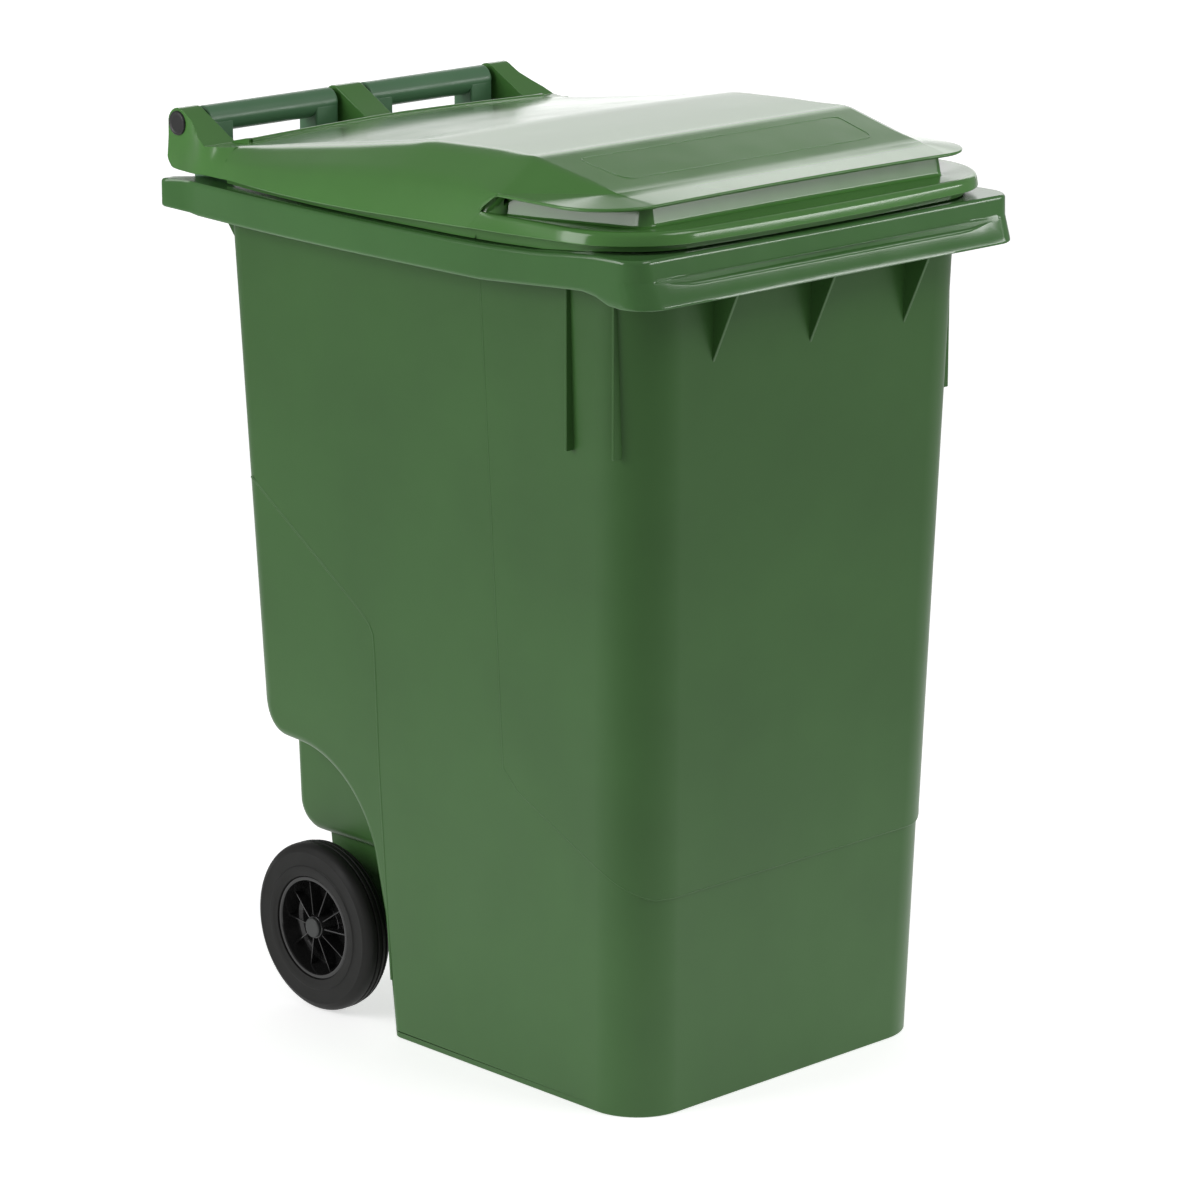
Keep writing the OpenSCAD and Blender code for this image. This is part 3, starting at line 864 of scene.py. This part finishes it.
def edge_stations():
    """Stations from the front's middle round to the end of the hand groove, on the +X side.

    Each is: inner edge of the flange, its outer edge, the flange's normal and outward direction there,
    the groove's wall, the wall's outward direction, the band's ridge, its lower edge, their outward direction."""
    def at(*place):
        return Vector(place)

    def shoulder(y):
        row = lid_at(y)
        return at(row[2], y, row[3])

    stations = []
    up, front, right = at(0, 0, 1), at(0, -1, 0), at(1, 0, 0)
    for i in range(9):
        t = i / 8
        bow = t * t
        stations.append((
            at(239 * t, CREASE_Y, CREASE_Z + soft_crease(0)), at(227 * t, -371, 1053 - 1.5 * bow), up, front,
            at(223 * t, -363, 1027 - bow), front,
            at(206 * t, -413.2 + 5.9 * bow, 1028), at(206 * t, -416 + 6.2 * bow, 1012.5), front))
    for i in range(1, 17):
        t = i / 16
        a, b = math.radians(-90 + 90 * t), math.radians(-86 + 86 * t)
        out, band = at(math.cos(a), math.sin(a), 0), at(math.cos(b), math.sin(b), 0)
        stations.append((
            shoulder(mix(CREASE_Y, -296, t)), at(227, -296, 1051.5 - 2 * t) + out * 75, up, out,
            at(223, -346, 1026 - 2.5 * t) + out * 17, out,
            at(199.3, -302, 1028) + band * mix(105.6, 104.2, t), at(199, -302, 1012.5 - 0.8 * t) + band * 108, band))
    for i in range(1, 11):
        t = i / 10
        y, low = mix(-296, OPENING_Y, t), mix(-302, OPENING_Y, t)
        stations.append((
            shoulder(y), at(302, y, 1049.5 + 0.5 * t), up, right,
            at(mix(240, 285, t), mix(-346, -195, t), 1023.5 - 0.5 * t), at(0.958, -0.286, 0),
            at(mix(303.5, 304.5, t), low, 1028), at(mix(307, 306.8, t), low, mix(1011.7, 1007.6, t)), right))
    row = lid_at(OPENING_Y)
    for i, z in enumerate(GROOVE_END):
        t = (i + 1) / len(GROOVE_END)
        turn = ease(t * 1.6)
        normal = (up * (1 - turn) + right * turn).normalized()
        out = (right * (1 - turn) + at(0, -0.8, -0.6) * turn).normalized()
        w = math.radians(mix(-16, 60, t))
        low_y = mix(OPENING_Y, opening_y(1007), t)
        stations.append((
            shoulder(OPENING_Y), at(mix(row[4], row[2], (z - 1028) / 22), opening_y(z), z), normal, out,
            at(mix(285, 302, t), mix(-195, -174, t * t), mix(1023, 1026.5, t)), at(math.cos(w), math.sin(w), 0),
            at(304.5, mix(OPENING_Y, -172, t), 1028),
            at(table(low_y, LID_ROWS)[6], low_y, mix(1007.6, 1006.6, t)), right))
    return stations


def lid_edge():
    """The flange, the hand groove under it and the band along the lower edge, on the +X side."""
    lips, bands = [], []
    for inner, edge, normal, out, wall, wall_dir, ridge, low, low_dir in edge_stations():
        lip = [edge + out * a - normal * b for a, b in FLANGE_EDGE]
        under = inner.z - 4 + (edge.z - inner.z) * 0.8
        top = Vector((wall.x, wall.y, min(edge.z - 2.5, under))) - wall_dir * 4
        near = [inner]
        if inner.y < -300:
            across = (lip[0] - inner).normalized()
            past = inner.y - CREASE_Y
            level = inner.z - soft_crease(past)
            near += [Vector((inner.x + across.x * d, inner.y + across.y * d,
                             level + across.z * d + soft_crease(past + d))) for d in (3.75, 7.5, 11.25, 15)]
        else:
            near += [inner + (lip[0] - inner) * d for d in (0.15, 0.3, 0.45, 0.6)]
        lips.append([tuple(p) for p in near + lip] + [tuple(top)])
        band = rounded([tuple(top), tuple(wall), tuple(ridge), tuple(low + Vector((0, 0, 1.6)))], (4, 7), (5, 7))
        foot = [low + low_dir * a + Vector((0, 0, b)) for a, b in ((-0.5, 0.5), (-1.6, 0), (-3.2, 1), (-14, 5))]
        for away, height in ((-14.5, None), (-17, None), (-17.5, 9)):
            point = low + low_dir * away
            point.z = rim_top(point.y) + SEAL_GAP if height is None else low.z + height
            foot.append(point)
        inside = [ridge - low_dir * 16 + Vector((0, 0, -4.5)), wall - wall_dir * 4 - Vector((0, 0, 4)),
                  Vector((wall.x, wall.y, under)) - wall_dir * 4, inner - Vector((0, 0, 4.3))]
        bands.append([tuple(p) for p in band] + [tuple(p) for p in foot + inside])
    flat = len(lips) - len(GROOVE_END)
    shape = Shape()
    shape.skin(lips[:flat])
    shape.skin([row[1:] for row in lips[flat - 1:]])
    shape.skin(bands)
    return shape


def label_frame():
    """Thin outline of the blank panel on the lid's front slope."""
    def top(y):
        return mix(PEAK_Z, CREASE_Z, (PEAK_Y - y) / (PEAK_Y - CREASE_Y))

    corners = [(205, -222, 12), (196, -290, 16), (-196, -290, 16), (-205, -222, 12)]
    loop = []
    for i, (x, y, r) in enumerate(corners):
        p = Vector((x, y))
        a, b = Vector(corners[i - 1][:2]), Vector(corners[(i + 1) % 4][:2])
        start, end = p + (a - p).normalized() * r, p + (b - p).normalized() * r
        for j in range(7):
            t = j / 6
            q = start * (1 - t) ** 2 + p * (2 * t * (1 - t)) + end * t * t
            loop.append((q.x, q.y, top(q.y)))
    return wire(loop, lambda point: (0, -0.21, 0.98), 0.7, 0.55, closed=True)


def side_lug():
    """The +X end lug that carries the hinge pin."""
    shape = Shape()
    rows = []
    for y in (290, 302, 316, 331, 345, 360, 375, 386, 391, 396, 401, 406, 410, 413.5, 416, 417.5, 418):
        row = lid_at(min(y, SIDE_END_Y))
        top, low = row[1], row[7]
        if y >= 389:
            top = HINGE_Z + math.sqrt(max(0.0, LUG_R ** 2 - (y - HINGE_Y) ** 2))
        elif y >= 334:
            top = min(1034 + (y - 334) * 0.5536, 1065.0)
        if y > 404:
            low = 1011 - math.sqrt(max(0.0, 14 ** 2 - (y - 404) ** 2))
        elif y >= SIDE_END_Y:
            low = mix(1000, 997, (y - SIDE_END_Y) / 60) if y < 391 else 997
        inward = ease((y - SIDE_END_Y) / 50)
        flare = max(0.0, min(1.0, (y - 348) / 66))
        settle = ease((y - 320) / 30)
        kx, mx = mix(row[0], 261, inward), mix(row[2], 261.4, inward)
        rx, lx = mix(row[4], 262.5, mix(inward, flare, 0.6)), mix(row[6], 263.5, flare)
        mid = mix(row[3], low + 0.55 * (top - low), settle)
        ridge = mix(row[5], low + 0.25 * (top - low), settle)
        rows.append([(231, y, low), (231, y, top), (kx, y, top), (mx, y, mid), (rx, y, ridge), (lx, y, low)])
    skin = shape.skin(rows, closed=True)
    shape.faces.extend(tuple(skin[end]) for end in (0, -1))
    return shape


def mid_lug():
    """The lug between the two handles."""
    outline = [(300, 1034), (334, 1034), (389, 1064.4)] + arc(HINGE_Y, HINGE_Z, LUG_R, 118, 0, 9)
    outline += arc(408, 1013, 10, 0, -90, 5) + [(300, LID_REAR_Z)]
    return prism(outline, lambda y, z, end: (-20.5 + 41 * end, y, z))


def rear_lip():
    """The raised lip across the lid's rear, with a ramp at each end."""
    section = [(297.5, 1030), (298.5, 1041.6), (300, 1043), (303.4, 1043), (305, 1041), (306, 1012), (301, 1012)]
    rows = []
    for x in range(-LIP_X, LIP_X + 1, 8):
        rise = 2.6 * (1 - (x / LIP_X) ** 2)
        rows.append([(x, y, z + rise - 2.2 * abs(x) / LIP_X if z > 1035 else z) for y, z in section])
    lip = skinned(rows, closed=True)
    ramp = [(301, 1030), (301, 1040.6), (306, 1040.6), (332, 1034.4), (332, 1030)]
    for side in (-1, 1):
        lip.add(prism(ramp, lambda y, z, end, side=side: (side * (229.5 + 6.5 * end), y, z)))
    return lip


def groove_seam():
    """The fine line down from the hand groove's rear end."""
    line = []
    for t in (0, 0.25, 0.5, 0.75, 1):
        z = mix(1008, 1027.5, t)
        line.append((mix(306.9, 304.4, t), opening_y(z) - 0.3, z))
    return wire(line, lambda point: (1, 0, 0.1), 0.8, 0.4)


def groove_post():
    """The post that stands in the hand groove's rear end."""
    angles = [2 * math.pi * i / 20 for i in range(20)]
    return skinned([[(291 + 4.5 * math.cos(a), -184 + 4.5 * math.sin(a), z) for a in angles] for z in (1022, 1048)],
                   closed=True)


def build_lid():
    pieces = [part("lid_upper", lid_upper().both(), sharp=34),
              part("lid_edge", lid_edge().both(), sharp=60),
              part("lid_lugs", side_lug().both(), bevel=1.3, angle=28),
              part("lid_mid_lug", mid_lug(), bevel=1.6, angle=40),
              part("lid_lip", rear_lip(), bevel=1.0, segments=2),
              part("lid_label", label_frame(), sharp=80),
              part("lid_seam", groove_seam().both(), sharp=80),
              part("lid_post", groove_post().both(), sharp=50)]
    return shown(joined("lid_shell", pieces), LID, "lid", "lid_plastic", "lid")


# ---- Handles and hinge pins ----

BAR_R, BAR_X0, BAR_X1, LEG_W = 16.5, 26, 225, 35
SILL_Z = 998


def rear_top(y):
    """Height of the rim's lowered rear, on which the handles stand."""
    return RIM_H - HANDLE_CUT * (y - 355) / 35


def mirror_side(shape, side):
    return shape if side == "right" else shape.mirrored()


def build_handle(side):
    outline = [(BAR_X0, 8.6), (BAR_X0, 13.6), (BAR_X0 + 0.5, 15.1), (BAR_X0 + 1.6, 16.2), (BAR_X0 + 3.2, BAR_R)]
    outline += [(BAR_X0 + BAR_X1 - x, r) for x, r in reversed(outline)]
    bar = turned(outline, HINGE_Y, HINGE_Z, 64)
    legs = Shape()
    outline = [(383.7, SILL_Z - 6), (383.7, HINGE_Z - 1), (390, HINGE_Z + 2), (390, HINGE_Z - 9),
               (410, HINGE_Z - 9), (410, HINGE_Z + 2), (416.3, HINGE_Z - 1), (416.3, SILL_Z - 6)]
    for x in (BAR_X0 + 0.4, BAR_X1 - LEG_W - 0.4):
        legs.add(prism(outline, lambda y, z, end, x=x: (x + LEG_W * end, y, z)))
    outline = [(383.6, rear_top(383.6) + 0.4), (390.3, rear_top(390) + 0.2), (390.3, 961.5), (400, 961.5),
               (416.4, 979), (416.4, SILL_Z), (383.6, SILL_Z)]
    base = prism(outline, lambda y, z, end: (BAR_X0 + (BAR_X1 - BAR_X0) * end, y, z))
    pieces = [part("bar", mirror_side(bar, side)),
              part("legs", mirror_side(legs, side), bevel=2.6, segments=4),
              part("base", mirror_side(base, side), bevel=1.8, angle=25)]
    handle = joined("handle_bar_" + side, pieces)
    return shown(handle, BAR, "bin", "handle_plastic", "handle_" + side)


def build_pin(side):
    outline = [(4, 0), (4, 7), (5, 8), (257.2, 8), (257.2, 13.6), (257.9, 14.5), (262, 14.5), (263.3, 14.0),
               (263.95, 12.9), (263.95, 12.0), (263.4, 11.2), (263.1, 9.5), (263.3, 4), (263.3, 0)]
    pin = turned(outline, HINGE_Y, HINGE_Z, 64)
    obj = part("hinge_cap_" + side, mirror_side(pin, side), sharp=45)
    return shown(obj, PIN, "lid", "pin_plastic", "hinge_pin_" + side)


# ---- Wheels ----

WHEEL_Z, WHEEL_R = 103, 103
WHEEL_X0, WHEEL_X1 = 202, 252
SPOKES, SPOKE_T = 10, 1.8
TREAD_X, TREAD_R = 230, 26


def build_tyre(side):
    """The tyre: inner side, shoulder, three grooves, outer shoulder, and the bead by the hub."""
    outline = [(207, 63.15), (204.6, 66), (204, 71), (203.4, 77)] + arc(TREAD_X, 77, TREAD_R, 176, 112, 8)
    for x in (221, 228, 235):
        top = 77 + math.sqrt(TREAD_R ** 2 - (TREAD_X - x) ** 2) if x < TREAD_X else WHEEL_R
        outline += [(x - 1.6, top - 0.05), (x - 0.9, top - 1.0), (x - 0.7, top - 3.6), (x + 0.7, top - 3.6),
                    (x + 0.9, top - 1.0), (x + 1.6, min(WHEEL_R, top + 0.2))]
    outline += arc(WHEEL_X1 - 13, WHEEL_R - 12, 12, 90, 24, 7)
    outline += [(250.6, 94.5), (251.4, 93.4), (251.5, 92), (251.0, 90.6), (251.0, 82), (250.7, 77.4), (251.2, 76.2)]
    outline += [(WHEEL_X1 - 0.1, 75.6), (WHEEL_X1 - 0.05, 74), (WHEEL_X1 - 0.3, 69.4), (WHEEL_X1 - 1.0, 68.4)]
    outline += [(250.8, 65), (250.2, 63.6), (249, 63.15)]
    tyre = turned(outline + outline[:1], AXLE_Y, WHEEL_Z, 128)
    obj = part("tyre_ring_" + side, mirror_side(tyre, side), sharp=32)
    return shown(obj, TYRE, "wheel_" + side, "tyre", "tyre_" + side)


def spoke(outline, a):
    """A flat rib of the wheel at angle a, from an outline in (radius, x)."""
    c, s = math.cos(a), math.sin(a)
    return prism(outline, lambda r, x, end: (x, AXLE_Y + r * c - SPOKE_T * (end - 0.5) * s,
                                             WHEEL_Z + r * s + SPOKE_T * (end - 0.5) * c))


def build_hub(side):
    """The dished hub with ribs on both sides and the box for the latch at its back."""
    outline = [(WHEEL_X0 + 0.1, 10.5), (WHEEL_X0 + 0.1, 21), (WHEEL_X0 + 1, 22), (221, 22), (222, 23.5), (222, 49),
               (220, 52), (208, 56.5), (206.2, 58), (206, 60), (206.4, 62.4), (207.2, 62.95), (247.4, 62.95),
               (248.6, 62.5), (249, 61.4), (249, 59.2), (248.6, 58.1), (247, 57.2), (240, 55.4), (231, 52.4),
               (228, 50.2), (226.4, 46), (226, 42), (226, 22), (226.8, 20.4), (228.5, 19.4), (245.2, 14.2),
               (246.5, 13.4), (247, 12.4), (247, 10.5)]
    dish = turned(outline + outline[:1], AXLE_Y, WHEEL_Z, 96)
    ribs = Shape()
    for i in range(SPOKES):
        a = 2 * math.pi * i / SPOKES
        ribs.add(spoke([(12, 224), (12, 244.2), (16, 244.2), (56.4, 238.2), (56.4, 224)], a))
        ribs.add(spoke([(21, 223), (21, 208), (57, 208), (57, 223)], a))
    box = prism([(-8, 18), (8, 18), (8, 57), (-8, 57)],
                lambda y, z, end: (WHEEL_X0 + 4 + 17 * end, AXLE_Y + y, WHEEL_Z + z))
    pieces = [part("dish", mirror_side(dish, side), sharp=28),
              part("ribs", mirror_side(ribs, side), bevel=0.6, segments=2, angle=35),
              part("latch_box", mirror_side(box, side), bevel=1.2, segments=2)]
    return shown(joined("hub_dish_" + side, pieces), HUB, "wheel_" + side, "hub_plastic", "hub_" + side)


def build_cap(side):
    outline = [(238, 0), (238, 9.7), (247.1, 9.7), (247.1, 11.9), (247.5, 12.2), (249.4, 12.2), (250.3, 11.7),
               (250.8, 10.8), (250.9, 9.8), (250.9, 0)]
    cap = turned(outline, AXLE_Y, WHEEL_Z, 64)
    obj = part("cap_disc_" + side, mirror_side(cap, side), sharp=45)
    return shown(obj, CAP, "wheel_" + side, "cap_plastic", "cap_" + side)


def paint(node, material):
    """A better material on a CAD node whose shape stays."""
    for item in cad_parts[node].material_slots:
        item.link = "OBJECT"
        item.material = material


build_tub()
build_rim()
build_lid()
for side in ("left", "right"):
    build_handle(side)
    build_pin(side)
    build_tyre(side)
    build_hub(side)
    build_cap(side)
    paint("spacer_" + side, SPACER)
    paint("latch_" + side, STEEL)
    paint("spring_" + side, STEEL)
paint("axle", STEEL)

# ---- Stage, camera and light ----

# Half width and height of the ground, in metres
GROUND_HALF, GROUND_Z = 60, -0.0005
# The ground's glow: a direction, the distances along it where the glow is full and least, and its full strength
GLOW_SPANS = (((0.69, 0.724, 0), -0.7, -1.5, 0.6),
              ((0.636, -0.772, 0), 0.8, 1.9, 1.0),
              ((-0.802, 0.598, 0), 0.8, 1.9, 1.0))
LEAST_GLOW = 0.06
WORLD_STRENGTH = 0.28
# The photo's camera: place in metres, direction in degrees, lens and sensor in millimetres
CAMERA_PLACE = (-3.8934, -4.1046 + SHIFT_Y * MM, 2.0188)
ELEVATION, AZIMUTH = 14.91, -43.67
LENS, SENSOR = 151.45, 36


def aim(obj, target):
    """Turns a lamp to a target."""
    direction = Vector(target) - obj.location
    obj.rotation_mode = "QUATERNION"
    obj.rotation_quaternion = direction.to_track_quat("-Z", "Y")


def glow_along(tree, place, direction, near, far, most):
    """A value that rises along a direction from the least glow to most."""
    away = tree.nodes.new("ShaderNodeVectorMath")
    away.operation = "DOT_PRODUCT"
    away.inputs[1].default_value = direction
    tree.links.new(place.outputs["Object"], away.inputs[0])
    span = tree.nodes.new("ShaderNodeMapRange")
    span.interpolation_type = "SMOOTHSTEP"
    span.inputs["From Min"].default_value = far
    span.inputs["From Max"].default_value = near
    span.inputs["To Min"].default_value = LEAST_GLOW
    span.inputs["To Max"].default_value = most
    tree.links.new(away.outputs["Value"], span.inputs["Value"])
    return span.outputs["Result"]


def floor():
    """A pale ground that glows a little round and behind the object, and less elsewhere."""
    mesh = bpy.data.meshes.new("floor")
    corners = ((-1, -1), (1, -1), (1, 1), (-1, 1))
    mesh.from_pydata([(GROUND_HALF * x, GROUND_HALF * y, GROUND_Z) for x, y in corners], [], [(0, 1, 2, 3)])
    obj = placed("floor", mesh)
    material, tree, shader = node_material("floor_pale")
    ramped(tree, noise_node(tree, 3.0), [(0.3, 0.80), (0.7, 0.82)], shader.inputs["Base Color"])
    shader.inputs["Roughness"].default_value = 0.8
    shader.inputs["Specular IOR Level"].default_value = 0.2
    place = tree.nodes.new("ShaderNodeTexCoord")
    glow = glow_along(tree, place, *GLOW_SPANS[0])
    for span in GLOW_SPANS[1:]:
        product = tree.nodes.new("ShaderNodeMath")
        product.operation = "MULTIPLY"
        tree.links.new(glow, product.inputs[0])
        tree.links.new(glow_along(tree, place, *span), product.inputs[1])
        glow = product.outputs["Value"]
    tree.links.new(glow, shader.inputs["Emission Strength"])
    shader.inputs["Emission Color"].default_value = (1, 1, 1, 1)
    mesh.materials.append(material)


def softbox(name, place, target, size, power):
    """A rectangular area light at a place, turned to a target."""
    data = bpy.data.lights.new(name, "AREA")
    data.shape = "RECTANGLE"
    data.size, data.size_y = size
    data.energy = power
    lamp = placed(name, data)
    lamp.location = place
    aim(lamp, target)


floor()
softbox("key_left", (-3.3, 1.3, 2.0), (0, 0, 0.5), (2.2, 2.2), 74)
softbox("front_right", (2.85, -3.05, 1.61), (0, 0, 1.3), (2.4, 0.5), 34)
softbox("top_front", (0.9, -2.3, 3.4), (0, 0, 0.6), (1.8, 1.6), 38)
softbox("backdrop", (6.2, 6.5, 2.75), (0, 0, 2.5), (9.9, 4.9), 150)
softbox("backdrop_top", (6.05, 6.35, 4.0), (0, 0, 2.0), (9.9, 1.85), 50)
world = bpy.data.worlds.new("studio")
world.use_nodes = True
world.node_tree.nodes["Background"].inputs["Color"].default_value = (1, 1, 1, 1)
world.node_tree.nodes["Background"].inputs["Strength"].default_value = WORLD_STRENGTH
bpy.context.scene.world = world
bpy.context.scene.view_settings.view_transform = "Standard"

camera_data = bpy.data.cameras.new("camera")
camera_data.lens = LENS
camera_data.sensor_width = SENSOR
camera = placed("camera", camera_data)
camera.location = CAMERA_PLACE
camera.rotation_mode = "XYZ"
camera.rotation_euler = (math.radians(90 - ELEVATION), 0, math.radians(AZIMUTH))
bpy.context.scene.camera = camera
